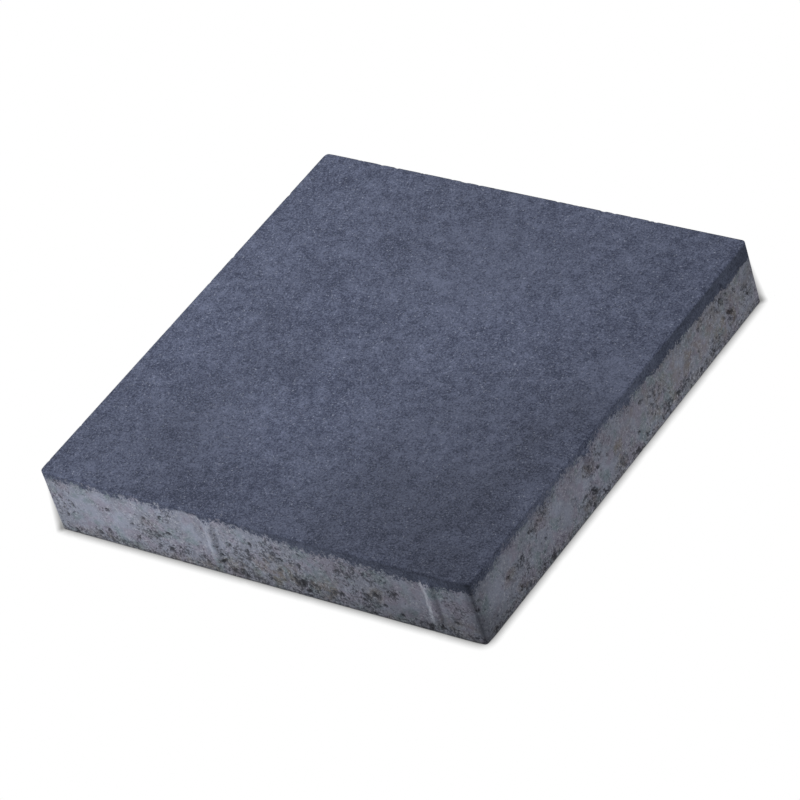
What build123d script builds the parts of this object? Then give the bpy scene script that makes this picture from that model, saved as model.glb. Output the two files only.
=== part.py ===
from build123d import *
import os

# Concrete paving slab, cast as one piece, in millimetres.
# The origin is the middle of the underside, +Z is up and the walking face is on top.

# Driving dimensions of the slab
slab_side = 298.0            # side of the square plan, without the spacer nibs
slab_thickness = 45.0
corner_radius = 2.5          # rounding of the four upright corners
top_arris_radius = 1.0       # worn edge round the walking face
bottom_arris_radius = 0.8    # edge round the underside

# Driving dimensions of the spacer nibs, low ribs with a round crown on the four sides
joint_width = 2.0            # how far a nib stands out: the gap it holds open to the next slab
nib_width = 8.0              # width of a nib along its side
nib_module_distance = 30.0   # from the module's right-hand end, seen from outside, to the first nib
nibs_per_side = 2
nib_top_gap = 5.0            # from the walking face down to a nib's upper end
nib_bottom_gap = 8.0         # from the underside up to a nib's lower end
nib_runout = 5.0             # height over which each end of a nib curves back into the side
nib_root = 1.0               # depth of a nib inside the slab that carries it

# The slab takes up a square module when it is laid. Its nibs stand half a module apart, so a slab
# laid in line with its neighbour and one laid in half bond both meet it nib against plain side.
laying_module = slab_side + joint_width
nib_pitch = laying_module / nibs_per_side
side_count = 4
side_turn = 360 / side_count


def slab_body():
    """Square block with rounded upright corners and eased arrises."""
    plan = RectangleRounded(slab_side, slab_side, corner_radius)
    block = extrude(plan, slab_thickness)
    block = fillet(block.faces().sort_by(Axis.Z)[-1].edges(), top_arris_radius)
    return fillet(block.faces().sort_by(Axis.Z)[0].edges(), bottom_arris_radius)


def nib_crown():
    """Upright cylinder behind the front side, whose outer sliver is the nib's round crown."""
    crown_radius = (nib_width ** 2 / 4 + joint_width ** 2) / (2 * joint_width)
    crest = -slab_side / 2 - joint_width
    return Pos(0, crest + crown_radius, 0) * extrude(Circle(crown_radius), slab_thickness)


def nib_envelope():
    """Bar along the front side, as long as a nib is wide, with ends that curve back to the side."""
    side = -slab_side / 2
    root = side + nib_root
    crest = side - joint_width
    low = nib_bottom_gap
    high = slab_thickness - nib_top_gap
    outline = [
        Line((root, low), (side, low)),
        TangentArc((crest, low + nib_runout), (side, low), tangent=(0, -1)),
        Line((crest, low + nib_runout), (crest, high - nib_runout)),
        TangentArc((crest, high - nib_runout), (side, high), tangent=(0, 1)),
        Line((side, high), (root, high)),
        Line((root, high), (root, low)),
    ]
    section = Plane.YZ * make_face(outline)
    return extrude(section, nib_width / 2, both=True)


def spacer_nib(number):
    """One nib of the front side. Number 0 is nearest the right-hand corner."""
    from_middle = laying_module / 2 - nib_module_distance - nib_pitch * number
    return Pos(from_middle, 0, 0) * (nib_crown() & nib_envelope())


def side_nibs():
    """The nibs of all sides: the front side's nibs turned a quarter at a time."""
    nibs = []
    for turn in range(side_count):
        for number in range(nibs_per_side):
            nibs.append(Rot(0, 0, turn * side_turn) * spacer_nib(number))
    return nibs


def paving_slab():
    """The whole slab, body and nibs fused into one solid."""
    slab = slab_body()
    for nib in side_nibs():
        slab += nib
    return slab


os.makedirs("parts", exist_ok=True)
slab = paving_slab()
slab.label = "paving_slab"
export_step(slab, "parts/paving_slab.step")
print("paving_slab:", len(slab.solids()), "solid,", round(slab.volume), "mm3")
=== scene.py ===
import itertools
import math

import bpy
import numpy as np
from mathutils import Matrix, Vector


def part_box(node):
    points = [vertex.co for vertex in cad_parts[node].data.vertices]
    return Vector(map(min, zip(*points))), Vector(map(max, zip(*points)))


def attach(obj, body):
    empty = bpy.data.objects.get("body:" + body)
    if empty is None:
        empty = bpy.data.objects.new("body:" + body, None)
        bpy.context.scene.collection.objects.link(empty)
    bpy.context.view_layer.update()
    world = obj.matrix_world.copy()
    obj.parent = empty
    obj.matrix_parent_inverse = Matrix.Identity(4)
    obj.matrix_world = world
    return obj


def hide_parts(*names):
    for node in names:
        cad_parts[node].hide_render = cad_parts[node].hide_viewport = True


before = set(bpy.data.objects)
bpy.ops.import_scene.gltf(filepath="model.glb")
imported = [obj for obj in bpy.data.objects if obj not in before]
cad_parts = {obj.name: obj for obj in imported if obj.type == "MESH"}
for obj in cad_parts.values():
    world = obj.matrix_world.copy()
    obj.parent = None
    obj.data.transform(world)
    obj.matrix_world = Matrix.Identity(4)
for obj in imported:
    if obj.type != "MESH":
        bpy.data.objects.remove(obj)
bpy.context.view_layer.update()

nodeLow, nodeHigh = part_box("paving_slab")
print("frame loaded, slab box", [round(v, 4) for v in nodeHigh - nodeLow])

mm = 0.001

# The slab's shape, in metres. Its side and thickness come from the frame.
slabShape = {
    "nibProud": 2.0 * mm,
    "nibWidth": 8.0 * mm,
    "nibPlaces": (-30 * mm, 120 * mm),   # along each side from its middle, to the right seen from outside
    "nibLow": 8.0 * mm,                  # height of a nib's lower end above the underside
    "nibTopGap": 5.0 * mm,
    "nibRunout": 5.0 * mm,
    "cornerRadius": 2.5 * mm,
    "topArris": 1.0 * mm,
    "bottomArris": 0.8 * mm,
    "columnsPerSide": 300,               # a multiple of 4
    "columnSamples": 20001,
    "cornerCrowding": (1.3, 7 * mm),     # how much closer the columns stand there, and over what reach
    "nibCrowding": (0.9, 5 * mm),
    "sideRows": 46,
    "rowCrowding": 0.055,                # how much closer the rows stand near the arrises
    "arrisRows": 4,
    "topInset": 1.9 * mm,                # where the walking face's own grid starts
    "underInsets": (2.0 * mm, 3.2 * mm),
}
slabSide = nodeHigh.x - nodeLow.x - 2 * slabShape["nibProud"]
slabHeight = nodeHigh.z - nodeLow.z
halfSide = slabSide / 2

# What casting, stripping and handling left on the slab, in metres.
slabWear = {
    "poreCell": 2.6 * mm,                # one pore at most in each cell
    "poreDepth": 0.8 * mm,
    "poreShare": (0.02, 0.34, 0.8),      # of the cells: the least, what openness adds, and the most
    "poreClear": 0.1,                    # how far a pore's middle stays off its cell's rim, in cells
    "poreRadius": (0.16, 0.30),          # in cells: the smallest, and how much larger the largest is
    "poreRim": (1.25, 0.5),              # where a pore ends, in its own radii, and how uneven that is
    "poreTop": (2.5, 5),                 # mm below the walking face, from none to all of the pores
    "pitDepth": 1.0 * mm,
    # The chipped arrises: depth, the noise at which it is whole, and its loss away from the edge
    "topChip": (0.7 * mm, 1.0, 0.55),
    "bottomChip": (0.5 * mm, 1.1, 0.5),
    "chipCell": 4 * mm,
    # Which corner, by the signs of X and Y, its wear and its reach
    "corners": [(1, -1, 1.0 * mm, 4.5 * mm), (-1, -1, 0.4 * mm, 3.0 * mm), (-1, 1, 0.3 * mm, 3.0 * mm)],
    "cornerUneven": 0.25,
    "cornerCell": 7 * mm,
    "dragDepth": 0.12 * mm,
    "dragCell": (2.5 * mm, 2.5 * mm, 18 * mm),
    "topRipple": 0.10 * mm,
    "rippleCell": 6 * mm,
}

# How the marks below end, in mm or in shares of a mark's own size.
markShape = {
    "warpCell": 5 * mm,                  # cell of the noise that makes their rims uneven
    "rimCell": 1.6 * mm,                 # and that of the pits' and pores' rims
    "patches": (0.45, 1.25, 0.35),       # how uneven, and from where one sets in to where it is whole
    "pits": (1.1, 1.15, 0.3),
    "toneAndShadingUneven": 0.3,
    "toneAndShadingTop": (0.4, 2.5),               # below the walking face, from no tone to the whole
    "scratches": 1.2,                    # reach of a scratch, and of a rubbed line with its painted highlight
    "rubsAndHighlights": 3.2,
    "strokeCore": 0.3,
    "cloudCell": 30 * mm,
    "cloudUneven": 0.5,
    "cloudEdge": 3 * mm,
    "lowestUneven": 2.5,
    "lowestBand": (37, 43),              # below the walking face, where the sides get open and brown
    "lowestOpen": 0.7,
    "lowestBrown": 0.5,
    "flatOpen": 0.3,                     # openness of the two flat faces
    "darkTop": (0.5, 2.0),
    "lineBelow": 1.3,
    "lineWidth": 0.9,
    "smearTop": 0.4,
}

# The border between the dark facing mix and the pale core, in mm.
facingBorder = {
    "nibDrops": (3.0, -0.8),             # how much lower it runs on each nib of a side
    "nibShift": 1.4,                     # how far left of the nib's middle that is
    "nibReach": (4.8, 2.8),
    "uneven": 0.5,
    "unevenCell": 7 * mm,
    "ragged": 1.5,                       # raggedness for a crispness of 1, and the least of it
    "leastRagged": 0.5,
    "flatMargin": 3,                     # how far inside its mix each flat face is at least
}

# Painted shade along the edges, and facing mix smeared down the front corner, in mm.
edgeShadeAndSmear = {
    "lowest": (2.2, 0.8),                # above the underside, from none of the painted shade to all of it
    "farArris": 0.9,
    "smearReach": (8.5, 0.5),
    "smearTaper": 0.05,
    "smearUneven": 1.5,
    "smearCell": (5 * mm, 5 * mm, 16 * mm),
}

# How far surfaces face up or down, from 0 on the walls to 1 on the flat faces.
faceLimits = {
    "wall": 0.01,                        # up to here it is plain wall, where nibs stand
    "wallShare": (0.2, 0.8),             # how far a surface is upright, from no wall to all wall
    "arris": 0.3,
    "sloping": 0.5,
    "under": 0.9,
    "flat": 0.98,
    "worn": 0.01,                        # the least that a worn surface is upright
}

# Starting numbers of the seeded noises.
noiseSeeds = {"marks": 51, "rims": 57, "clouds": 61, "facing": 31, "smear": 41, "pores": 13,
              "topChip": 14, "bottomChip": 15, "corners": 16, "drag": 17, "ripple": 18}

# A common integer hash: a factor for each axis and for the seed, how far the bits are shifted before each
# further factor, and how many bits a number from 0 to 1 keeps.
hashAxes, hashSeed = (73856093, 19349663, 83492791), 2654435761
hashShift, hashFactors, hashBits = 33, (0xff51afd7ed558ccd, 0xc4ceb9fe1a85ec53, 1), 53

# What each side shows, in mm. Places are the distance from the side's left end, seen from outside, and
# the distance below the walking face.
# facing: place, depth of the dark facing mix, crispness of its border. pits: place, below, radius.
# open, paste, brown: patches as place, below, half width, half height, strength. tone and shading: the
# same, and its strength is + for lighter and - for darker; it is partly the concrete's own tone and partly
# painted light and shade. scratches, rubs and highlights: strength, then the line from point to point; a
# rub is rubbed paste with a painted highlight along a nib's lit flank.
# dark: place, how dark the facing mix is on the side. line: place, strength of the dark line along its
# arris. rim: strength of the painted shade along the lowest millimetres.
frontMarks = {
    "facing": [
        (0, 4.2, 0.5), (18, 4.0, 0.5), (33, 4.8, 0.5), (40, 3.6, 0.5), (50, 5.0, 0.5), (60, 4.2, 0.5),
        (73, 2.8, 0.6), (81, 3.0, 0.6), (89, 5.2, 0.5), (97, 3.0, 0.8), (102, 1.9, 1.4), (112, 2.1, 1.4),
        (126, 3.2, 0.7), (142, 3.3, 0.7), (150, 5.2, 0.7), (166, 5.8, 0.7), (177, 7.2, 0.7),
        (188, 9.2, 0.5), (200, 7.6, 0.5), (210, 6.0, 0.7), (218, 7.8, 0.7), (238, 7.8, 0.7),
        (250, 8.8, 0.8), (258, 8.2, 1.1), (273, 9.2, 1.1), (282, 8.6, 0.9), (291, 7.0, 0.9),
        (298, 8.0, 0.9),
    ],
    "pits": [
        (4, 17.5, 1.6), (16, 20, 1.4), (10.5, 30, 1.6), (43.5, 18.6, 1.5), (70, 17, 1.6), (83.5, 13.2, 1.4),
        (86, 23.7, 1.6), (71.5, 24.6, 1.2), (61, 33.3, 1.6), (77.6, 29.2, 1.4), (60, 24.8, 1.3),
        (31, 38.6, 2.2), (38.7, 35, 1.6), (13, 42.4, 1.6), (84, 36.4, 1.5), (56, 42.6, 1.2), (10, 6.4, 1.3),
        (109, 13.6, 1.3), (109, 23.5, 1.0), (107, 35.5, 1.6), (123, 33.6, 1.9), (128.5, 38.2, 1.7),
        (134, 38.5, 2.0), (137, 41.3, 1.9), (122.5, 28.5, 1.3), (130.5, 19.7, 1.2), (146, 14, 1.4),
        (143.5, 20, 1.5), (142, 28, 1.6), (166, 20.7, 1.6), (162, 18.5, 1.5), (163.5, 29, 1.5),
        (150.5, 38.2, 1.8), (177.7, 22, 1.5), (178.5, 34.7, 2.5), (172, 32.8, 1.5), (180, 41.3, 1.9),
        (185.5, 28.2, 1.5), (205, 16.9, 1.3), (213, 19.2, 1.4), (223.7, 30.8, 1.8), (229.5, 28.5, 1.7),
        (232.6, 35, 1.7), (242.3, 23.4, 1.4), (239.0, 22.4, 1.0), (219.7, 34.6, 1.5), (223.5, 42, 1.7),
        (203.5, 34.7, 1.4), (270.6, 38.5, 1.9), (282, 33.1, 1.3), (263, 42, 1.6), (244, 39.5, 1.3),
    ],
    "open": [
        (12, 22, 10, 14, 0.6), (38, 41, 24, 5, 0.9), (43, 19, 6, 5, 0.5), (90, 37, 20, 8, 0.9),
        (74, 27, 15, 7, 0.7), (85, 13, 8, 7, 0.6), (33, 5, 5, 3, 0.7), (89, 7, 7, 4, 0.8),
        (107, 36, 6, 5, 0.9), (138, 26, 17, 16, 0.8), (160, 18, 14, 10, 0.9), (138, 39, 20, 6, 1.0),
        (180, 36, 14, 8, 1.0), (190, 16, 10, 10, 0.5), (210, 17, 12, 10, 0.8), (222, 33, 13, 10, 0.9),
        (241, 24, 6, 4, 0.9), (203, 38, 10, 7, 0.8), (272, 41, 26, 4, 0.9), (283, 20, 12, 12, 0.45),
        (230, 15, 10, 7, 0.7),
    ],
    "paste": [
        (24, 15, 11, 8, 0.9), (27, 25, 9, 9, 0.9), (42, 11, 9, 5, 0.9), (50, 27, 8, 12, 0.8),
        (20, 34, 5, 7, 0.8), (80, 8, 7, 4, 0.8), (104, 14, 7, 15, 1.0), (117, 24, 3, 14, 0.6),
        (142, 8, 5, 5, 0.7), (186, 17, 6, 4, 0.8), (251, 14, 6, 7, 0.9), (261, 18, 3, 9, 0.8),
        (249, 31, 7, 8, 0.7), (291, 12, 5, 6, 0.7), (274, 22, 4, 10, 0.5), (60, 13, 8, 5, 0.5),
    ],
    "brown": [
        (31, 41, 12, 4, 0.8), (102, 42, 24, 4, 0.8), (130, 36, 12, 10, 0.7), (160, 32, 20, 12, 0.9),
        (192, 33, 12, 10, 0.9), (228, 29, 9, 7, 0.7), (280, 37, 14, 8, 0.6), (72, 24, 10, 9, 0.3),
    ],
    # partly painted light and shade: darker at both ends, and lighter on the second nib
    "toneAndShading": [
        (8, 24, 20, 40, -0.15), (20, 7, 16, 5, -0.1), (52, 8, 8, 4, -0.1), (95, 5, 10, 4, -0.06),
        (136, 16, 20, 15, 0.12), (152, 20, 9, 7, 0.12), (60, 41, 60, 6, -0.08), (195, 42, 110, 7, -0.2),
        (188, 27, 8, 6, -0.12), (232, 20, 12, 10, -0.12), (250, 36, 12, 8, -0.12), (276, 36, 28, 12, -0.16),
        (273, 7, 8, 4, 0.2), (271, 24, 3, 18, 0.25), (142, 34, 6, 5, 0.12),
    ],
    # rubbed paste with a painted highlight along each nib's lit left flank
    "rubsAndHighlights": [
        (0.2, (116.6, 14), (117.0, 22), (116.6, 33)),
        (0.75, (264.8, 9), (266.2, 13), (266.4, 24), (265.4, 36)),
    ],
    "dark": [(0, 0.5), (100, 0.5), (120, 0.7), (170, 0.9), (298, 1.0)],
    "line": [(0, 0.8), (140, 0.8), (165, 0.4), (200, 0.5), (298, 0.7)],
    "rim": 1.1,
}

rightMarks = {
    "facing": [
        (0, 9, 0.4), (9, 7, 0.35), (16, 7, 0.35), (24, 5, 0.35), (34, 5, 0.35), (44, 4.4, 0.35),
        (66, 5.4, 0.3), (90, 4.6, 0.3), (105, 5.2, 0.35), (125, 5.2, 0.35), (140, 5.4, 0.4),
        (152, 6.4, 0.5), (163, 9.8, 0.5), (172, 7.6, 0.7), (184, 8.6, 1.1), (195, 10.0, 1.1),
        (205, 9.6, 1.0), (220, 10.2, 1.3), (250, 10.2, 1.4), (262, 11.0, 1.5), (275, 12.0, 1.8),
        (286, 11.8, 1.8), (298, 11.4, 1.8),
    ],
    "pits": [
        (31, 22, 1.4), (45.6, 21.7, 1.2), (68, 27, 1.3), (57.6, 12.5, 1.3), (72, 12.9, 1.2),
        (71, 41.9, 2.0), (61, 41.9, 1.6), (65, 34, 1.3), (85, 34, 1.2), (115.9, 32.8, 2.0),
        (107.3, 31.3, 1.3), (125, 23.5, 1.3), (125.5, 14, 1.3), (129, 18, 1.3), (135, 23.5, 1.1),
        (165.7, 32.8, 1.3), (159.5, 42, 2.4), (125.5, 42.3, 2.0), (114, 42.3, 1.9), (172, 39, 1.5),
        (196, 39.8, 1.8), (172.7, 16.6, 1.5), (155, 33.6, 1.3), (207.3, 38.1, 2.0), (214.6, 37, 1.7),
        (266.8, 28, 1.5), (233.6, 29.3, 1.2), (246, 40, 1.5), (231.6, 42.3, 1.8), (236.7, 16.9, 1.2),
        (276, 19.2, 1.4), (262, 15.3, 2.0), (287, 31.2, 1.2), (2, 21, 1.6), (39, 37, 1.4), (12, 42.3, 1.3),
    ],
    "open": [
        (70, 12, 18, 8, 0.55), (163, 8, 13, 5, 0.8), (112, 36, 13, 8, 0.8), (120, 15, 13, 8, 0.6),
        (38, 38, 10, 7, 0.5), (60, 41, 34, 5, 0.7), (148, 38, 10, 6, 0.9), (187, 26, 12, 12, 0.6),
        (196, 39, 10, 6, 0.8), (211, 37, 9, 6, 0.9), (256, 16, 20, 7, 0.7), (246, 38, 9, 7, 0.8),
        (286, 32, 8, 9, 0.6), (268, 30, 8, 8, 0.5), (45, 25, 14, 10, 0.5), (130, 20, 12, 12, 0.5),
        (225, 40, 14, 5, 0.8),
    ],
    "paste": [
        (38, 13, 6, 6, 0.9), (19, 20, 8, 11, 0.7), (82, 18, 8, 8, 0.9), (91, 28, 5, 9, 0.8),
        (134, 27, 9, 10, 1.0), (106, 22, 7, 8, 0.7), (167, 22, 10, 10, 0.9), (209, 22, 9, 9, 1.0),
        (289, 14, 7, 5, 0.6), (240, 24, 10, 8, 0.4), (57, 26, 6, 6, 0.4),
    ],
    "brown": [
        (33, 24, 7, 6, 0.5), (39, 36, 6, 5, 0.9), (115, 16, 6, 5, 0.4), (146, 28, 6, 6, 0.9),
        (145, 38, 9, 4, 0.8), (187, 32, 12, 12, 0.6), (225, 26, 10, 10, 0.8), (262, 30, 14, 12, 0.9),
        (70, 14, 10, 6, 0.4), (110, 38, 12, 6, 0.6), (205, 38, 12, 6, 0.7), (232, 24, 80, 22, 0.55),
    ],
    # partly painted shade: darker towards both corners
    "toneAndShading": [
        (4, 24, 12, 40, -0.22), (14, 38, 24, 8, -0.2), (15, 44, 36, 3, -0.2), (40, 8, 40, 6, -0.1),
        (125, 7, 26, 4, -0.1), (115, 26, 12, 12, 0.18), (98, 7, 8, 5, -0.08), (200, 39, 40, 7, 0.12),
        (192, 27, 14, 9, 0.12), (195, 4.5, 34, 3, 0.12), (245, 34, 26, 12, 0.08), (190, 13, 50, 5, -0.1),
        (291, 15, 9, 14, -0.2), (160, 43, 120, 3, 0.12),
    ],
    "scratches": [
        (0.8, (29.5, 21.5), (32, 24), (34, 27), (36, 29)), (0.8, (113.5, 13.5), (114.7, 16), (116, 18.8)),
        (0.8, (264.5, 24.6), (266.8, 28), (268.4, 31), (267.6, 34), (268.8, 37)),
        (0.8, (38, 34), (40.5, 37.5)), (0.8, (256.5, 19.5), (259, 22)),
    ],
    "dark": [(0, 0.6), (60, 0.3), (110, 0.2), (150, 0.6), (180, 1.1), (298, 1.2)],
    "line": [(0, 0.3), (70, 0.3), (95, 0.0), (298, 0.0)],
    "rim": 0.25,
}

backMarks = {
    "facing": [(0, 11.4, 2.0), (60, 8, 1.2), (120, 6, 0.8), (190, 4, 0.8), (250, 5.5, 0.8), (298, 7, 0.8)],
    "pits": [(44, 20, 1.6), (96, 31, 2.0), (171, 25, 1.5), (233, 33, 1.9), (262, 18, 1.5)],
    "open": [(80, 30, 40, 14, 0.7), (210, 34, 50, 10, 0.8)],
    "paste": [(150, 16, 20, 10, 0.8)],
    "brown": [(150, 38, 60, 6, 0.7)],
    "toneAndShading": [(150, 41, 170, 8, -0.14), (120, 20, 40, 12, 0.08)],
    "dark": [(0, 1.2), (298, 0.6)],
    "line": [(0, 0.4), (298, 0.6)],
    "rim": 0.8,
}

leftMarks = {
    "facing": [(0, 7, 0.8), (70, 5, 0.7), (140, 6.5, 0.7), (200, 5, 0.7), (260, 4.4, 0.6), (298, 4.4, 0.6)],
    "pits": [(28, 27, 1.8), (83, 18, 1.5), (139, 34, 2.0), (196, 22, 1.6), (247, 30, 1.7)],
    "open": [(60, 32, 40, 12, 0.8), (200, 36, 60, 8, 0.8)],
    "paste": [(120, 18, 24, 10, 0.8)],
    "brown": [(100, 40, 60, 5, 0.7)],
    "toneAndShading": [(150, 41, 170, 8, -0.14), (220, 18, 40, 12, 0.08)],
    "dark": [(0, 0.7), (298, 0.5)],
    "line": [(0, 0.5), (298, 0.7)],
    "rim": 0.8,
}

sideMarks = (frontMarks, rightMarks, backMarks, leftMarks)

# Broad clouds of the walking face: X, Y and radius in mm, and how much lighter or darker. They are partly
# the concrete's own tone and partly painted shade, such as the dark cloud towards the front corner.
walkingCloudsAndShading = [
    (105, -115, 72, -0.26), (130, -140, 40, -0.08), (-85, -118, 55, -0.08), (135, -20, 32, -0.14),
    (140, 18, 26, -0.10), (-35, 135, 45, -0.12), (-75, -85, 26, -0.06), (-14, -45, 42, 0.14),
    (20, 25, 36, 0.08), (70, 45, 40, 0.10), (-120, 125, 40, -0.04), (-60, 20, 24, 0.10),
    (20, 90, 34, -0.06), (-125, -28, 36, 0.12), (-38, -75, 32, 0.10), (-8, -105, 24, 0.08),
    (70, -58, 24, -0.05), (-20, 10, 26, 0.06),
]


def latticeRandom(cells, seed):
    # A repeatable random number from 0 to 1 for each whole-numbered cell, by integer hashing
    keys = cells.astype(np.uint64) * np.array(hashAxes, dtype=np.uint64)
    code = keys[:, 0] ^ keys[:, 1] ^ keys[:, 2] ^ np.uint64(seed * hashSeed % 2**32)
    for factor in hashFactors:
        code = (code ^ (code >> np.uint64(hashShift))) * np.uint64(factor)
    return (code >> np.uint64(64 - hashBits)).astype(float) / 2.0**hashBits


def latticeNoise(points, cell, seed):
    # Smooth noise from -1 to 1: a random value at each corner of a cube lattice, blended across each cube
    scaled = points / np.asarray(cell)
    base = np.floor(scaled).astype(np.int64)
    part = scaled - base
    part = part * part * (3 - 2 * part)
    total = np.zeros(len(points))
    for corner in itertools.product((0, 1), repeat=3):
        weight = np.prod(np.where(np.array(corner), part, 1 - part), axis=1)
        total += weight * (2 * latticeRandom(base + corner, seed) - 1)
    return total


def layeredNoise(points, cell, seed, layers=3, seedStep=7):
    # Noise at a cell size plus finer layers, each with half the cell and half the strength
    cell = np.asarray(cell)
    return sum(latticeNoise(points, cell / 2**n, seed + seedStep * n) / 2**n for n in range(layers))


def poreField(points, cell, seed, presence, warp):
    # How deep each point lies in a pore, 0 to 1. Each lattice cell may hold one pore, at a random place
    # and of a random size, and presence is the share of cells that have one, at each point. The warp
    # makes their rims uneven
    clear = slabWear["poreClear"]
    smallest, growth = slabWear["poreRadius"]
    end, uneven = slabWear["poreRim"]
    scaled = points / cell
    base = np.floor(scaled).astype(np.int64)
    depth = np.zeros(len(points))
    for step in itertools.product((-1, 0, 1), repeat=3):
        cells = base + step
        place = np.stack([latticeRandom(cells, seed + k) for k in range(3)], axis=1)
        place = place * (1 - 2 * clear) + clear
        size = smallest + growth * latticeRandom(cells, seed + 3) ** 2
        there = latticeRandom(cells, seed + 4) < presence
        away = np.linalg.norm(scaled - cells - place, axis=1) / size + uneven * warp
        share = np.clip(end - away, 0, 1) * np.sqrt(size / (smallest + growth))
        depth = np.maximum(depth, there * share)
    return depth


def easeBetween(value, low, high):
    # 0 below low, 1 above high, smooth between them
    t = np.clip((value - low) / (high - low), 0, 1)
    return t * t * (3 - 2 * t)


def columnPlaces():
    # Where the mesh's columns stand along one side, counted from its middle through the rounded corners'
    # halves. They are closest at the corners and the nibs: equal steps of a summed weight
    reach = halfSide - slabShape["cornerRadius"] * (1 - math.pi / 4)
    fine = np.linspace(-reach, reach, slabShape["columnSamples"])
    gain, spread = slabShape["cornerCrowding"]
    weight = 1 + gain * np.exp(-((reach - np.abs(fine)) / spread) ** 2)
    gain, spread = slabShape["nibCrowding"]
    for place in slabShape["nibPlaces"]:
        for mirrored in (place, -place):
            weight += gain * np.exp(-((fine - mirrored) / spread) ** 2)
    summed = np.concatenate([[0], np.cumsum((weight[1:] + weight[:-1]) / 2)])
    steps = np.linspace(0, summed[-1], slabShape["columnsPerSide"] + 1)
    return np.interp(steps, summed, fine)


def turnPlan(xy, side):
    # A quarter turn for each side, from the front side
    cos, sin = ((1, 0), (0, 1), (-1, 0), (0, -1))[side]
    return np.stack([xy[..., 0] * cos - xy[..., 1] * sin, xy[..., 0] * sin + xy[..., 1] * cos], axis=-1)


def planOutline(along, inset):
    # The rounded square at a distance inside its outline: points and outward directions, for places
    # along one side, straight up to the corner radius and round past it
    radius = slabShape["cornerRadius"]
    straight = halfSide - radius
    turn = np.clip(np.abs(along) - straight, 0, None) / radius
    hand = np.sign(along)
    out = np.stack([hand * np.sin(turn), -np.cos(turn)], axis=-1)
    centre = np.stack([np.clip(along, -straight, straight), np.full_like(along, -straight)], axis=-1)
    return centre + out * (radius - inset), out


def outlineLoop(along, inset):
    # All four sides, anticlockwise from above, starting at the corner between left and front
    sides = [[turnPlan(part, side) for part in planOutline(along[:-1], inset)] for side in range(4)]
    points, outs = zip(*sides)
    return np.concatenate(points), np.concatenate(outs)


def sideProfile():
    # The edge's section from the walking face to the underside: inset from the outline, height, and
    # how far the surface faces outward and up
    top, bottom = slabShape["topArris"], slabShape["bottomArris"]
    angle = np.linspace(0, math.pi / 2, slabShape["arrisRows"] + 1)
    sin, cos = np.sin(angle), np.cos(angle)
    upper = np.stack([top - top * sin, slabHeight - top + top * cos, sin, cos])
    spread = np.linspace(0, 1, slabShape["sideRows"] + 1)[1:-1]
    spread = spread - slabShape["rowCrowding"] * np.sin(2 * math.pi * spread)
    heights = (slabHeight - top) + (bottom - (slabHeight - top)) * spread
    wall = np.stack([0 * heights, heights, 1 + 0 * heights, 0 * heights])
    lower = np.stack([bottom - bottom * cos, bottom - bottom * sin, cos, -sin])
    return np.concatenate([upper, wall, lower], axis=1)


def coonsGrid(front, right, back, left):
    # A grid of points inside four edge curves: the two blends of facing edges, less the blend of the
    # corners. front and back run along +X, left and right along +Y
    u = np.linspace(0, 1, len(front))[:, None, None]
    v = np.linspace(0, 1, len(left))[None, :, None]
    across = (1 - v) * front[:, None] + v * back[:, None]
    along = (1 - u) * left[None, :] + u * right[None, :]
    corners = ((1 - u) * (1 - v) * front[0] + u * (1 - v) * front[-1]
               + (1 - u) * v * back[0] + u * v * back[-1])
    return across + along - corners


class MeshGrid:
    # Gathers points and faces of joined grids, and what is known about each point
    def __init__(self):
        self.points, self.normals, self.edges, self.faces = [], [], [], []
        self.count = 0

    def addPoints(self, points, normals, edges):
        first = self.count
        self.points.append(points.reshape(-1, 3))
        self.normals.append(normals.reshape(-1, 3))
        self.edges.append(edges.reshape(-1, 3))
        self.count += len(self.points[-1])
        return first + np.arange(self.count - first)

    def addQuads(self, a, b, c, d):
        self.faces.append(np.stack([part.ravel() for part in (a, b, c, d)], axis=1))

    def addTriangles(self, a, b, c):
        self.faces.append(np.stack([part.ravel() for part in (a, b, c, c)], axis=1))


def capPoints(along, inset, height, up):
    # The flat face inside an inset outline, as a grid whose edge rows lie on that outline
    edges = [turnPlan(planOutline(along, inset)[0], side) for side in range(4)]
    flat = coonsGrid(edges[0], edges[1], edges[2][::-1], edges[3][::-1])
    points = np.concatenate([flat, np.full(flat.shape[:2] + (1,), height)], axis=2)
    normals = np.zeros_like(points)
    normals[..., 2] = up
    onEdge = flat.copy()
    wide = np.abs(flat[..., 0]) > np.abs(flat[..., 1])
    onEdge[..., 0] = np.where(wide, np.sign(flat[..., 0]) * halfSide, flat[..., 0])
    onEdge[..., 1] = np.where(wide, flat[..., 1], np.sign(flat[..., 1]) * halfSide)
    return points, normals, np.concatenate([onEdge, points[..., 2:]], axis=2)


def gridRim(ids):
    # The grid's edge ids, anticlockwise from above from its first corner
    return np.concatenate([ids[:-1, 0], ids[-1, :-1], ids[:0:-1, -1], ids[0, :0:-1]])


def joinHalved(grid, wide, narrow, flip):
    # A strip of triangles from a loop to one with half as many points
    a, b, c = wide[0::2], wide[1::2], np.roll(wide, -2)[0::2]
    p, q = narrow, np.roll(narrow, -1)
    for corners in ((a, b, p), (b, q, p), (b, c, q)):
        grid.addTriangles(*(corners[::-1] if flip else corners))


def loopPoints(along, inset, height, outward, up):
    # One loop round the slab, with its direction and the outline point that each of its points belongs to
    flat, outs = outlineLoop(along, inset)
    rim = outlineLoop(along, 0)[0]
    level = np.full((len(flat), 1), height)
    normals = np.concatenate([outs * outward, level * 0 + up], axis=1)
    return np.concatenate([flat, level], axis=1), normals, np.concatenate([rim, level], axis=1)


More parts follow.
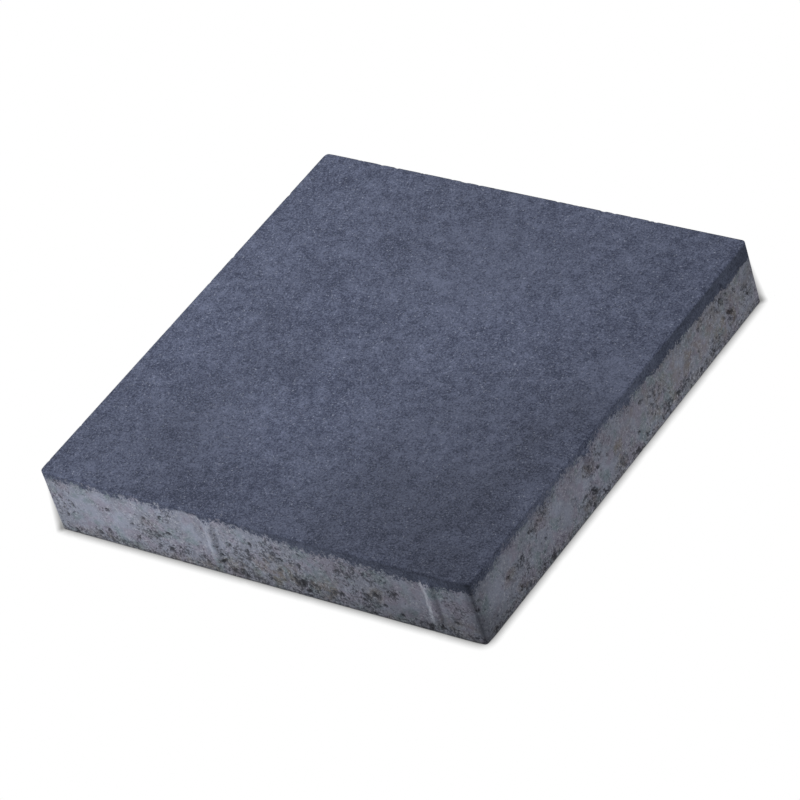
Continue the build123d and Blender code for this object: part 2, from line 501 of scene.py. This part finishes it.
def slabGrid():
    # The whole skin: a band round the sides and arrises, and a grid for each flat face, joined by
    # strips that halve the number of columns
    grid = MeshGrid()
    along = columnPlaces()
    rows = [grid.addPoints(*loopPoints(along, inset, height, outward, up))
            for inset, height, outward, up in sideProfile().T]
    band = np.array(rows)
    after = np.roll(band, -1, axis=1)
    grid.addQuads(band[:-1], band[1:], after[1:], after[:-1])

    top = capPoints(along[::2], slabShape["topInset"], slabHeight, 1)
    ids = grid.addPoints(*top).reshape(top[0].shape[:2])
    grid.addQuads(ids[:-1, :-1], ids[1:, :-1], ids[1:, 1:], ids[:-1, 1:])
    joinHalved(grid, band[0], gridRim(ids), False)

    middleInset, underInset = slabShape["underInsets"]
    middle = grid.addPoints(*loopPoints(along[::2], middleInset, 0, 0, -1))
    joinHalved(grid, band[-1], middle, True)
    under = capPoints(along[::4], underInset, 0, -1)
    ids = grid.addPoints(*under).reshape(under[0].shape[:2])
    grid.addQuads(ids[:-1, :-1], ids[:-1, 1:], ids[1:, 1:], ids[1:, :-1])
    joinHalved(grid, middle, gridRim(ids), True)
    return grid


def sideCoordinates(edgePoints):
    # For a point of the outline: the number of its side, and its distance from that side's left end in mm
    x, y = edgePoints[:, 0], edgePoints[:, 1]
    side = np.select([(-y >= np.abs(x)), (x >= np.abs(y)), (y >= np.abs(x))], [0, 1, 2], 3)
    distance = np.choose(side, [x, y, -x, -y]) + halfSide
    return side, distance / mm


def nibHeight(place, height):
    # How far the nibs stand out: the lower of the round crown across a nib and its curved ends
    proud, width = slabShape["nibProud"], slabShape["nibWidth"]
    crownRadius = (width ** 2 / 4 + proud ** 2) / (2 * proud)
    runout = slabShape["nibRunout"]
    endRadius = (runout ** 2 + proud ** 2) / (2 * proud)
    low = slabShape["nibLow"] + runout
    high = slabHeight - slabShape["nibTopGap"] - runout
    past = np.clip(np.maximum(low - height, height - high), 0, endRadius)
    ends = np.sqrt(endRadius ** 2 - past ** 2) - (endRadius - proud)
    total = np.zeros_like(place)
    for middle in slabShape["nibPlaces"]:
        across = np.clip(np.abs(place * mm - halfSide - middle), 0, crownRadius)
        crown = np.sqrt(crownRadius ** 2 - across ** 2) - (crownRadius - proud)
        total = np.maximum(total, np.minimum(crown, ends))
    return np.clip(total, 0, None)


def listedMarks(kind, side, place, below, warp):
    # For each listed mark of a kind: which points are on its side, how far they lie from its middle in
    # its own size, with an uneven rim, and its strength
    for number, marks in enumerate(sideMarks):
        for at, down, wide, *rest in marks[kind]:
            tall, strength = rest or (wide, 1)
            yield side == number, np.hypot((place - at) / wide, (below - down) / tall) + warp, strength


def patchField(kind, side, place, below, warp):
    # The strongest of a side's patches or pits at each point, each an ellipse that fades out
    uneven, *fade = markShape.get(kind, markShape["patches"])
    total = np.zeros_like(place)
    for onSide, away, strength in listedMarks(kind, side, place, below, uneven * warp):
        total = np.maximum(total, onSide * strength * easeBetween(away, *fade))
    return total


def sideToneAndShading(side, place, below, warp):
    # How much lighter or darker the sides are in their broad patches: partly their own tone and partly
    # painted light and shade
    total = np.zeros_like(place)
    for onSide, away, strength in listedMarks("toneAndShading", side, place, below, markShape["toneAndShadingUneven"] * warp):
        total += onSide * strength * np.exp(-away * np.abs(away))
    return total * easeBetween(below, *markShape["toneAndShadingTop"])


def strokeField(kind, side, place, below):
    # Nearness to a side's scratches or rubbed lines with their painted highlight: their strength on the
    # line, and 0 from their reach on
    reach = markShape[kind]
    total = np.zeros_like(place)
    for number, marks in enumerate(sideMarks):
        for strength, *stroke in marks.get(kind, []):
            for (startAt, startDown), (endAt, endDown) in zip(stroke, stroke[1:]):
                stepAt, stepDown = endAt - startAt, endDown - startDown
                share = (place - startAt) * stepAt + (below - startDown) * stepDown
                share = np.clip(share / (stepAt**2 + stepDown**2), 0, 1)
                away = np.hypot(place - startAt - share * stepAt, below - startDown - share * stepDown)
                near = (side == number) * easeBetween(away, reach, reach * markShape["strokeCore"])
                total = np.maximum(total, strength * near)
    return total


def alongSide(kind, side, place, column=1):
    # A value that changes along each side between the places that it is listed for
    total = np.zeros_like(place)
    for number, marks in enumerate(sideMarks):
        listed = np.array(marks[kind])
        total = np.where(side == number, np.interp(place, listed[:, 0], listed[:, column]), total)
    return total


def walkingToneAndShading(points):
    # How much lighter or darker the walking face is in its broad clouds: partly its own tone and partly
    # painted shade
    total = np.zeros(len(points))
    warp = markShape["cloudUneven"] * layeredNoise(points, markShape["cloudCell"], noiseSeeds["clouds"])
    for x, y, radius, strength in walkingCloudsAndShading:
        away = np.hypot(points[:, 0] / mm - x, points[:, 1] / mm - y) / radius + warp
        total += strength * np.exp(-away * np.abs(away))
    return total * easeBetween(points[:, 2], slabHeight - markShape["cloudEdge"], slabHeight)


def facingMargin(side, place, below, points):
    # Millimetres inside the dark facing mix, negative in the pale core, and how ragged their border is. It
    # follows each side's depths, and runs lower or higher on the nibs
    border = facingBorder
    depth, crispness = (alongSide("facing", side, place, column) for column in (1, 2))
    for middle, drop in zip(slabShape["nibPlaces"], border["nibDrops"]):
        near = np.abs(place - (halfSide + middle) / mm + border["nibShift"])
        depth = depth + drop * easeBetween(near, *border["nibReach"])
    depth = depth + border["uneven"] * layeredNoise(points, border["unevenCell"], noiseSeeds["facing"])
    return (depth - below) * crispness, np.clip(border["ragged"] * crispness, border["leastRagged"], 1)


def edgeShadeShare(normals, below, side):
    # Painted shade along the edges, 0 to 1: the lowest millimetres of all sides, and the top arris of the
    # far ones
    up = normals[:, 2]
    strength = np.choose(side, [marks["rim"] for marks in sideMarks])
    clean, dirty = (slabHeight / mm - above for above in edgeShadeAndSmear["lowest"])
    lowest = easeBetween(below, clean, dirty) * (up > -faceLimits["under"])
    upper = (up > faceLimits["arris"]) * (up < faceLimits["flat"]) * (side > 1)
    return np.maximum(strength * lowest, edgeShadeAndSmear["farArris"] * upper)


def cornerSmear(points, below):
    # The facing mix smeared down the front corner, 0 to 1
    corner = np.hypot(points[:, 0] - halfSide, points[:, 1] + halfSide) / mm
    uneven = edgeShadeAndSmear["smearUneven"] * layeredNoise(points, edgeShadeAndSmear["smearCell"], noiseSeeds["smear"])
    return easeBetween(corner + edgeShadeAndSmear["smearTaper"] * below + uneven, *edgeShadeAndSmear["smearReach"])


def slabRelief(points, normals, edges, below, pits, openness, warp):
    # How far each point lies inside the nominal skin, and the share of it that is open pore
    wear, seeds = slabWear, noiseSeeds
    height = points[:, 2]
    upright = 1 - np.abs(normals[:, 2])
    wall = easeBetween(upright, *faceLimits["wallShare"])
    inset = np.hypot(edges[:, 0] - points[:, 0], edges[:, 1] - points[:, 1])

    least, added, most = wear["poreShare"]
    presence = np.clip(least + added * openness, 0.0, most)
    pores = poreField(points, wear["poreCell"], seeds["pores"], presence, warp)
    pores = pores * wall * easeBetween(below, *wear["poreTop"])

    chips = np.zeros(len(points))
    topLine = np.stack([edges[:, 0], edges[:, 1], np.full(len(edges), slabHeight)], axis=1)
    for kind, line, away in (("topChip", topLine, slabHeight - height + inset),
                             ("bottomChip", topLine * (1, 1, 0), height + inset)):
        deepest, whole, loss = wear[kind]
        cut = deepest * easeBetween(layeredNoise(line, wear["chipCell"], seeds[kind]), 0.0, whole)
        chips += np.clip(cut - loss * away, 0, None)

    worn = np.zeros(len(points))
    for right, back, deepest, reach in wear["corners"]:
        corner = np.hypot(points[:, 0] - right * halfSide, points[:, 1] - back * halfSide)
        worn += deepest * np.exp(-(corner / reach) ** 2)
    uneven = wear["cornerUneven"]
    worn *= 1 - uneven + uneven * latticeNoise(points, wear["cornerCell"], seeds["corners"])

    drag = wear["dragDepth"] * (1 + latticeNoise(points, wear["dragCell"], seeds["drag"])) / 2
    ripple = wear["topRipple"] * (1 + layeredNoise(points, wear["rippleCell"], seeds["ripple"]) / 2) / 2
    depth = pores * wear["poreDepth"] + pits * wall * wear["pitDepth"]
    depth = depth + drag * wall + ripple * (1 - wall) + chips + worn * (upright > faceLimits["worn"])
    return np.clip(depth, 0, None), np.maximum(pores, pits * wall)


def skinMesh(points, faces):
    # A mesh from points and faces of four corners, where a triangle has its last corner twice
    sizes = np.where(faces[:, 2] == faces[:, 3], 3, 4)
    corners = faces[np.arange(4)[None, :] < sizes[:, None]]
    starts = np.concatenate([[0], np.cumsum(sizes)[:-1]])
    mesh = bpy.data.meshes.new("pavingSlab")
    mesh.vertices.add(len(points))
    mesh.vertices.foreach_set("co", points.astype(np.float32).ravel())
    mesh.loops.add(len(corners))
    mesh.loops.foreach_set("vertex_index", corners.astype(np.int32))
    mesh.polygons.add(len(faces))
    mesh.polygons.foreach_set("loop_start", starts.astype(np.int32))
    mesh.polygons.foreach_set("use_smooth", np.ones(len(faces), bool))
    mesh.update(calc_edges=True)
    mesh.validate()
    print("slab mesh:", len(points), "points,", int((sizes - 2).sum()), "triangles")
    return mesh


def makeSlab():
    # The slab's skin with its nibs, worn edges, pores and drag marks, as one closed mesh. What the
    # concrete's material needs to know of each point goes with it as attributes
    grid = slabGrid()
    points, normals, edges = (np.concatenate(part) for part in (grid.points, grid.normals, grid.edges))
    marks, up = markShape, normals[:, 2]
    side, place = sideCoordinates(edges)
    below = (slabHeight - points[:, 2]) / mm
    isSide = np.abs(up) < faceLimits["flat"]
    warp = layeredNoise(points, marks["warpCell"], noiseSeeds["marks"])
    fineWarp = layeredNoise(points, marks["rimCell"], noiseSeeds["rims"], 2)

    spot = (side, place, below)
    openness, paste, brown = (patchField(kind, *spot, warp) for kind in ("open", "paste", "brown"))
    lowest = easeBetween(below + marks["lowestUneven"] * warp, *marks["lowestBand"])
    openness = np.maximum(openness, marks["lowestOpen"] * lowest) * isSide
    brown = np.maximum(brown, marks["lowestBrown"] * lowest) * isSide
    pits = patchField("pits", *spot, fineWarp) * isSide
    darkLine = np.exp(-((below - marks["lineBelow"]) / marks["lineWidth"]) ** 2)

    margin, ragged = facingMargin(side, place, below, points)
    inMix = facingBorder["flatMargin"]
    margin = np.where(up > faceLimits["sloping"], np.maximum(margin, inMix), margin)
    margin = np.where(up < -faceLimits["sloping"], np.minimum(margin, -inMix), margin)

    nib = nibHeight(place, points[:, 2]) * (np.abs(up) < faceLimits["wall"])
    depth, pores = slabRelief(points, normals, edges, below, pits, openness, fineWarp)
    mesh = skinMesh(points + normals * (nib - depth)[:, None], np.concatenate(grid.faces))
    attributes = {
        "facingMargin": margin,
        "raggedShare": ragged,
        "poreDepth": pores,
        "pitShare": pits,
        "openness": np.where(isSide, openness, marks["flatOpen"]),
        "pasteShare": paste * isSide,
        "brownShare": brown,
        "smearShare": cornerSmear(points, below) * (below > marks["smearTop"]),
        "scratchShare": strokeField("scratches", *spot) * isSide,
        "rubHighlightShare": strokeField("rubsAndHighlights", *spot) * isSide,
        "sideShare": easeBetween(below, *marks["darkTop"]) * alongSide("dark", side, place),
        "lineShare": darkLine * alongSide("line", side, place),
        # painted shade along the lowest millimetres and the top arris of the far sides
        "edgeShadeShare": edgeShadeShare(normals, below, side),
        # the broad tone, partly painted light and shade
        "toneAndShadingShift": walkingToneAndShading(points) + sideToneAndShading(*spot, warp) * isSide,
    }
    for name, values in attributes.items():
        layer = mesh.attributes.new(name, "FLOAT", "POINT")
        layer.data.foreach_set("value", values.astype(np.float32))
    slab = bpy.data.objects.new("pavingSlab", mesh)
    bpy.context.scene.collection.objects.link(slab)
    return slab


def addNode(tree, kind, inputs=None, **settings):
    # One shader node with its settings, and its inputs as numbers or as links from other nodes
    node = tree.nodes.new("ShaderNode" + kind)
    for name, value in settings.items():
        setattr(node, name, value)
    for socket, value in (inputs or {}).items():
        if isinstance(value, bpy.types.NodeSocket):
            tree.links.new(value, node.inputs[socket])
        else:
            node.inputs[socket].default_value = value
    return node


def srgb(red, green, blue):
    # A screen colour from 0 to 255 as the linear colour that renders so
    parts = [v / 255 for v in (red, green, blue)]
    return tuple(v / 12.92 if v <= 0.04045 else ((v + 0.055) / 1.055) ** 2.4 for v in parts) + (1.0,)


# Colours of the concrete, as they would look on a screen.
concreteTints = {
    "facingLow": srgb(54, 60, 80),
    "facingHigh": srgb(104, 111, 134),
    "facingPit": srgb(40, 45, 62),
    "facingSpeck": srgb(160, 166, 182),
    "facingSide": srgb(50, 56, 68),
    "facingLine": srgb(34, 38, 52),
    "coreGrey": srgb(122, 126, 140),
    "corePaste": srgb(147, 153, 171),
    "coreLavender": srgb(124, 116, 131),
    "coreTeal": srgb(102, 119, 124),
    "coreBrown": srgb(107, 99, 87),
    "corePit": srgb(54, 56, 64),
    "coreLight": srgb(176, 179, 189),
    # painted shade in the pores and pits
    "poreShade": srgb(42, 42, 47),
    "scratch": srgb(70, 58, 52),
    # painted highlight along the nibs' lit flanks, over rubbed paste
    "rubbedHighlight": srgb(200, 204, 216),
    # painted shade along the edges
    "edgeShadeDark": srgb(44, 45, 50),
}

# Noises of the concrete: how many to a metre, detail, roughness and shift. Then what becomes of them: a
# gain is a factor and what is added, a fade is where it sets in and is whole, and its share at both.
concreteNoises = {
    "borderSand": ((540, 3, 0.8), "gain", 16.0, -8.0),
    "borderEdge": ((170, 2), "gain", 4.0, -2.0),
    "facingCloud": ((13, 4, 0.7), "gain", 1.3, -0.65),
    "facingMottle": ((150, 3, 0.9), "gain", 1.9, -0.95),
    "facingSand": ((760, 2, 1.0), "gain", 3.3, -1.2),
    "facingPit": ((520, 3, 0.8, 3.1), "fade", 0.42, 0.28, 0.0, 0.7),
    "facingSpeck": ((900, 2, 0.6, 1.7), "fade", 0.62, 0.74, 0.0, 0.7),
    "corePaste": ((60, 3, 0.6), "fade", 0.35, 0.65, -0.2, 0.4),
    "coreLavender": ((90, 3, 0.6, 9.3), "fade", 0.46, 0.62, 0.0, 0.5),
    "coreTeal": ((90, 3, 0.6, 4.4), "fade", 0.50, 0.66, 0.0, 0.6),
    "earthy": ((160, 3, 0.7, 6.1), "fade", 0.38, 0.62, 0.1, 0.8),
    "coreSand": ((620, 3, 0.9, 8.8), "gain", 5.0, -2.5),
    "rubbedHighlight": ((420, 2, 0.6, 7.7), "fade", 0.35, 0.60, 0.2, 0.7),
}

# The slab's marks as colours laid over the concrete, with the painted shade along its edges: the strength
# and the colour of each.
concreteMarks = {
    "sideShare": (0.45, "facingSide"),
    "pasteShare": (0.5, "corePaste"),
    "smearShare": (0.5, "facingSide"),
    "scratchShare": (0.45, "scratch"),
    "lineShare": (0.3, "facingLine"),
    "edgeShadeShare": (0.4, "edgeShadeDark"),
}

# The open grit of the core, its sand on smooth paste, the painted shade in its pores and pits, and the
# surface of both mixes.
concreteSurface = {
    "gritNoise": (560, 4, 0.75, 0.4),
    "gritGains": {"openness": 0.13, "pitShare": 0.14, "pasteShare": -0.05},
    "gritFade": (0.54, 0.69, 0.0, 0.82),
    "sandOnPaste": (-0.4, 0.8),
    "poreFade": (0.1, 0.8, 0.0, 0.45),
    "fineGrain": (820, 3, 0.6),
    "coarseGrain": (260, 2, 0.6, 2.2),
    "coarseShare": 0.8,
    "bumpStrength": 0.5,
    "bumpHeight": 0.9 * mm,
    "roughness": 0.88,
    "specular": 0.3,
}


class ShadeNodes:
    # A new material, with short forms for its nodes
    def __init__(self, name):
        self.material = bpy.data.materials.new(name)
        self.material.use_nodes = True
        self.tree = self.material.node_tree
        self.tree.nodes.clear()
        self.place = addNode(self.tree, "TexCoord").outputs["Object"]

    def noise(self, scale, detail=2.0, roughness=0.5, shift=0.0):
        moved = addNode(self.tree, "Mapping", {"Vector": self.place, "Location": (shift, shift, shift)})
        inputs = {"Vector": moved.outputs[0], "Scale": scale, "Detail": detail, "Roughness": roughness}
        return addNode(self.tree, "TexNoise", inputs).outputs["Fac"]

    def attribute(self, name):
        return addNode(self.tree, "Attribute", attribute_name=name).outputs["Fac"]

    def math(self, operation, first, second=0.0, third=0.0):
        return addNode(self.tree, "Math", {0: first, 1: second, 2: third}, operation=operation).outputs[0]

    def remap(self, value, fromLow, fromHigh, toLow=0.0, toHigh=1.0, kind="SMOOTHSTEP"):
        inputs = {"Value": value, "From Min": fromLow, "From Max": fromHigh,
                  "To Min": toLow, "To Max": toHigh}
        return addNode(self.tree, "MapRange", inputs, interpolation_type=kind).outputs[0]

    def mix(self, share, first, second, kind="MIX"):
        # Colours blended by a share, through the colour sockets of the Mix node
        inputs = {0: share, 6: first, 7: second}
        return addNode(self.tree, "Mix", inputs, data_type="RGBA", blend_type=kind).outputs[2]

    def layer(self, name):
        # One of the listed noises, with its gain or its fade
        noise, kind, *values = concreteNoises[name]
        if kind == "gain":
            return self.math("MULTIPLY_ADD", self.noise(*noise), *values)
        return self.remap(self.noise(*noise), *values)

    def mark(self, colour, name):
        # A colour with one of the listed marks over it
        strength, tint = concreteMarks[name]
        share = self.math("MULTIPLY", self.attribute(name), strength)
        return self.mix(share, colour, concreteTints[tint])

    def axes(self):
        parts = addNode(self.tree, "SeparateXYZ", {0: self.place})
        return parts.outputs["X"], parts.outputs["Y"]

    def finish(self, shader):
        self.tree.links.new(shader.outputs[0], addNode(self.tree, "OutputMaterial").inputs[0])
        return self.material


def makeConcrete():
    # Pressed concrete in two mixes: fine anthracite sand above the facing border, open grey sand and
    # cement paste below it
    n = ShadeNodes("castConcrete")
    tint, surface = concreteTints, concreteSurface

    # Which of the two mixes a grain belongs to
    ragged = n.math("ADD", n.layer("borderSand"), n.layer("borderEdge"))
    margin = n.math("MULTIPLY_ADD", ragged, n.attribute("raggedShare"), n.attribute("facingMargin"))
    facing = n.remap(margin, -1.0, 1.0)

    # The facing mix: broad clouds, mottling and sand, with pits and a few bright grains
    mottle = n.math("ADD", n.layer("facingCloud"), n.layer("facingMottle"))
    mottle = n.math("ADD", mottle, n.layer("facingSand"))
    dark = n.mix(mottle, tint["facingLow"], tint["facingHigh"])
    for name in ("facingPit", "facingSpeck"):
        dark = n.mix(n.layer(name), dark, tint[name])
    dark = n.mark(dark, "sideShare")

    # The core mix: grey sand, with smears of paste, tinted sands and open grit
    core = n.mix(n.layer("corePaste"), tint["coreGrey"], tint["corePaste"])
    core = n.mark(core, "pasteShare")
    for name in ("coreLavender", "coreTeal"):
        core = n.mix(n.layer(name), core, tint[name])
    core = n.mix(n.math("MULTIPLY", n.attribute("brownShare"), n.layer("earthy")), core, tint["coreBrown"])
    onPaste = n.math("MULTIPLY_ADD", n.attribute("pasteShare"), *surface["sandOnPaste"])
    core = n.mix(n.math("MULTIPLY", n.layer("coreSand"), onPaste), core, tint["coreLight"])
    grit = n.noise(*surface["gritNoise"])
    for name, gain in surface["gritGains"].items():
        grit = n.math("MULTIPLY_ADD", n.attribute(name), gain, grit)
    core = n.mix(n.remap(grit, *surface["gritFade"]), core, tint["corePit"])
    # rubbed paste on the nibs, with a painted highlight along their lit flanks
    core = n.mix(n.math("MULTIPLY", n.attribute("rubHighlightShare"), n.layer("rubbedHighlight")), core, tint["rubbedHighlight"])

    # Both mixes with what lies over them
    colour = n.mark(n.mix(facing, core, dark), "smearShare")
    # painted shade in the pores and pits, by how deep they are
    colour = n.mix(n.remap(n.attribute("poreDepth"), *surface["poreFade"]), colour, tint["poreShade"])
    # scratches, the dark line under the arris, and painted shade along the edges
    for name in ("scratchShare", "lineShare", "edgeShadeShare"):
        colour = n.mark(colour, name)
    # the broad tone with its painted light and shade, as a factor on the colour
    toneAndShading = n.math("ADD", n.attribute("toneAndShadingShift"), 1.0)
    toneAndShading = addNode(n.tree, "CombineColor", {0: toneAndShading, 1: toneAndShading, 2: toneAndShading}).outputs[0]
    colour = n.mix(1.0, colour, toneAndShading, "MULTIPLY")

    coarse = n.math("MULTIPLY", n.noise(*surface["coarseGrain"]), surface["coarseShare"])
    grain = n.math("ADD", n.noise(*surface["fineGrain"]), coarse)
    bump = addNode(n.tree, "Bump", {"Height": grain, "Strength": surface["bumpStrength"],
                                    "Distance": surface["bumpHeight"]}).outputs[0]
    shader = addNode(n.tree, "BsdfPrincipled", {"Base Color": colour, "Normal": bump,
                                                "Roughness": surface["roughness"],
                                                "Specular IOR Level": surface["specular"]})
    print("concrete material:", len(n.tree.nodes), "nodes")
    return n.finish(shader)


# The camera stands as the photograph's did, in metres and degrees, and is rolled about its own axis.
cameraStand = {
    "aim": (-0.002295, -0.003077, 0.013159),
    "distance": 2.6132,
    "azimuth": 45.083,
    "elevation": 38.165,
    "roll": -18.102,
    "lens": 206.135,
    "nearest": 0.05,
    "farthest": 50,
}


def makeCamera():
    azimuth, elevation, roll = (math.radians(cameraStand[k]) for k in ("azimuth", "elevation", "roll"))
    back = Vector((math.sin(azimuth) * math.cos(elevation), -math.cos(azimuth) * math.cos(elevation),
                   math.sin(elevation)))
    level = Vector((math.cos(azimuth), math.sin(azimuth), 0))
    upward = back.cross(level)
    right = level * math.cos(roll) + upward * math.sin(roll)
    up = upward * math.cos(roll) - level * math.sin(roll)
    lens = bpy.data.cameras.new("camera")
    lens.lens = cameraStand["lens"]
    lens.clip_start, lens.clip_end = cameraStand["nearest"], cameraStand["farthest"]
    camera = bpy.data.objects.new("camera", lens)
    camera.matrix_world = Matrix((right, up, back)).transposed().to_4x4()
    camera.location = Vector(cameraStand["aim"]) + back * cameraStand["distance"]
    bpy.context.scene.collection.objects.link(camera)
    bpy.context.scene.camera = camera


# The white floor, its shadows and the light. Each lamp has its place, its size and its power.
studioLight = {
    "skyStrength": 0.37,
    "lamps": [
        {"name": "topKey", "at": (-0.248, 0.143, 0.43), "size": 0.225, "power": 1.25},
        {"name": "frontFill", "at": (-0.19, -0.455, 0.107), "size": 0.225, "power": 1.1},
        {"name": "rightFill", "at": (0.896, 0.24, 0.395), "size": 0.4, "power": 3.1},
    ],
    "towards": (0, 0, 0.02),             # what all lamps face
    "floorSize": 12.0,
    "floorBounce": 0.15,
    "floorOpening": 4 * mm,              # the floor is open under the slab, up to this far inside its sides
    "contactReach": 5.5 * mm,
    "contactPower": 1.2,
    "contactSamples": 16,
    "castCorner": 210.7 * mm,            # half the slab's diagonal
    "castWidth": 3.6 * mm,               # how softly the shadow behind the slab ends
    "castFade": 16 * mm,                 # how softly it fades towards its middle
    "castLength": 56 * mm,
    "castDepth": 0.6,
}


def makeLamp(place):
    lamp = bpy.data.lights.new(place["name"], "AREA")
    lamp.energy, lamp.size = place["power"], place["size"]
    stand = bpy.data.objects.new(place["name"], lamp)
    at = Vector(place["at"])
    turn = (Vector(studioLight["towards"]) - at).to_track_quat("-Z", "Y")
    stand.matrix_world = Matrix.Translation(at) @ turn.to_matrix().to_4x4()
    bpy.context.scene.collection.objects.link(stand)


def castShade(n):
    # The floor's brightness under a painted soft shadow, such as a lamp at the front would throw behind the
    # slab:
    # a band from each side corner towards -X and +Y, which is all that shows of it from the front
    corner, width, length = (studioLight[k] for k in ("castCorner", "castWidth", "castLength"))
    x, y = (n.math("MULTIPLY", part, math.sqrt(0.5)) for part in n.axes())
    across = n.math("ABSOLUTE", n.math("ADD", y, x))
    behind = n.math("SUBTRACT", y, x)
    reached = n.math("ADD", behind, across)
    share = 1.0
    for value, start, end, atStart, atEnd in (
            (across, corner, corner + width, studioLight["castDepth"], 0.0),
            (across, corner - studioLight["castFade"], corner, 0.0, 1.0),
            (behind, -width, 0.0, 0.0, 1.0),
            (reached, corner + length, corner + length + 2 * width, 1.0, 0.0)):
        share = n.math("MULTIPLY", share, n.remap(value, start, end, atStart, atEnd, "LINEAR"))
    return n.math("SUBTRACT", 1.0, share)


def makeFloorShade():
    # White with the slab's shadows for the camera, and a dim floor for the light
    n = ShadeNodes("whiteFloor")
    bounce = studioLight["floorBounce"]
    contact = addNode(n.tree, "AmbientOcclusion", {"Distance": studioLight["contactReach"]},
                      samples=studioLight["contactSamples"]).outputs["AO"]
    contact = n.math("POWER", contact, studioLight["contactPower"])
    shown = addNode(n.tree, "Emission", {"Color": n.math("MULTIPLY", contact, castShade(n))})
    lit = addNode(n.tree, "BsdfDiffuse", {"Color": (bounce, bounce, bounce, 1)})
    seen = addNode(n.tree, "LightPath").outputs["Is Camera Ray"]
    mixed = addNode(n.tree, "MixShader", {0: seen, 1: lit.outputs[0], 2: shown.outputs[0]})

    # Clear from below, and under the slab, so that light reaches its underside
    farthest = n.math("MAXIMUM", *(n.math("ABSOLUTE", part) for part in n.axes()))
    under = n.math("LESS_THAN", farthest, halfSide - studioLight["floorOpening"])
    below = addNode(n.tree, "NewGeometry").outputs["Backfacing"]
    clear = addNode(n.tree, "BsdfTransparent")
    return n.finish(addNode(n.tree, "MixShader", {0: n.math("MAXIMUM", below, under), 1: mixed.outputs[0],
                                                  2: clear.outputs[0]}))


def makeWorld():
    # Soft light from all around, and white where the camera sees it
    world = bpy.data.worlds.new("studio")
    world.use_nodes = True
    tree = world.node_tree
    tree.nodes.clear()
    seen = addNode(tree, "LightPath").outputs["Is Camera Ray"]
    soft, white = (addNode(tree, "Background", {"Color": (1, 1, 1, 1), "Strength": strength})
                   for strength in (studioLight["skyStrength"], 1.0))
    mixed = addNode(tree, "MixShader", {0: seen, 1: soft.outputs[0], 2: white.outputs[0]})
    tree.links.new(mixed.outputs[0], addNode(tree, "OutputWorld").inputs[0])
    bpy.context.scene.world = world


def makeStage():
    # A white floor, white surroundings, and the lamps
    half = studioLight["floorSize"] / 2
    mesh = bpy.data.meshes.new("floor")
    corners = [(-half, -half, 0), (half, -half, 0), (half, half, 0), (-half, half, 0)]
    mesh.from_pydata(corners, [], [(0, 1, 2, 3)])
    mesh.materials.append(makeFloorShade())
    floor = bpy.data.objects.new("floor", mesh)
    bpy.context.scene.collection.objects.link(floor)
    makeWorld()
    for place in studioLight["lamps"]:
        makeLamp(place)
    print("stage and lamps ready")


bpy.context.scene.view_settings.view_transform = "Standard"
slab = makeSlab()
slab.data.materials.append(makeConcrete())
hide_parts("paving_slab")
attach(slab, "root")
makeStage()
makeCamera()
